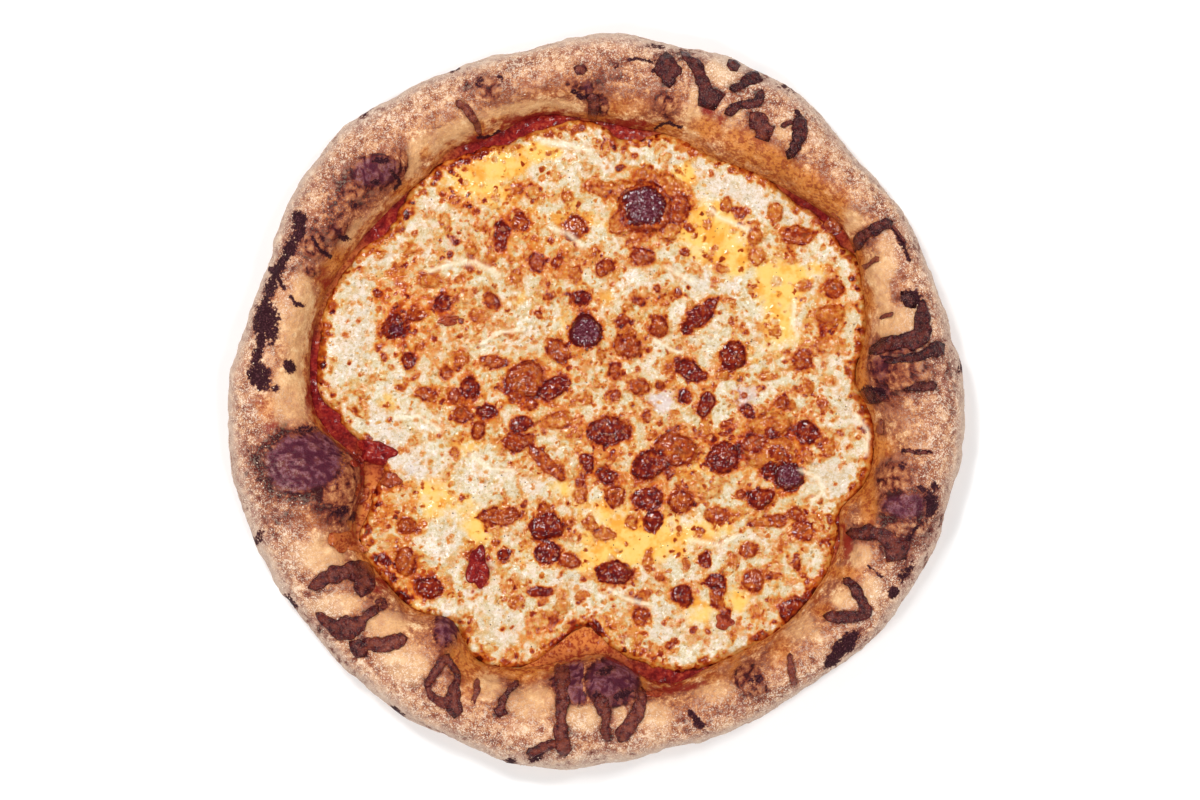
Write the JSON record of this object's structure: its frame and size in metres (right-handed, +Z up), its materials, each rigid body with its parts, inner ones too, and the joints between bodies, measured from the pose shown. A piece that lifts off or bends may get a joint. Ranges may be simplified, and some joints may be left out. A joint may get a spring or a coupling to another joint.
{
  "type": "cheese pizza",
  "caption": "Round hand-stretched cheese pizza with an uneven puffed crust, a ring of tomato sauce and browned melted cheese.",
  "frame": {"origin": "middle of the flat underside, on the surface that the pizza rests on", "axes": "+Z up through the toppings, +X to the right of the picture, +Y towards the top of the picture"},
  "size_m": [0.3008, 0.2986, 0.0273],
  "materials": {
    "crust": "baked dough, dusted with flour, charred in places",
    "sauce": "moist tomato sauce",
    "cheese": "melted cheese with a thin film of oil and browned blisters"
  },
  "bodies": {
    "root": {"crust": "crust", "sauce": "sauce", "cheese": "cheese"}
  },
  "joints": []
}
